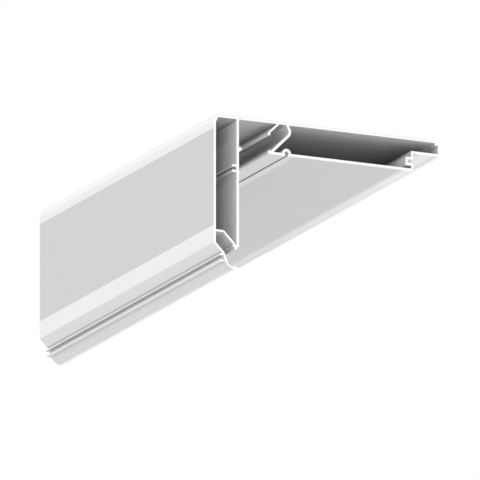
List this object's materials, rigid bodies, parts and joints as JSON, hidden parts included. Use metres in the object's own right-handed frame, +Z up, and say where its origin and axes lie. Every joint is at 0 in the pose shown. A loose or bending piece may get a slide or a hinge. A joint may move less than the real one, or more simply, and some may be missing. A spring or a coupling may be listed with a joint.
{
  "type": "curtain niche ceiling profile",
  "caption": "Hollow aluminium ceiling profile that frames a curtain niche: deep leg, wide arm with a wall recess, clip channel, edge-strip pockets, screw ports and a screwed end cap.",
  "frame": {"origin": "centre of the extrusion's ceiling face, halfway along its length and halfway across its width", "axes": "+Z up through the ceiling face, +Y along the extrusion from the cut end to the end cap, +X across from the leg to the wall edge"},
  "size_m": [0.15, 0.247, 0.095],
  "materials": {
    "profile": "satin, natural anodised",
    "cap": "satin, natural anodised",
    "screws": "bright zinc plated"
  },
  "bodies": {
    "root": {"profile": "profile", "end_cap": "cap", "screw_leg": "screws", "screw_arm": "screws", "screw_recess": "screws"}
  },
  "joints": []
}
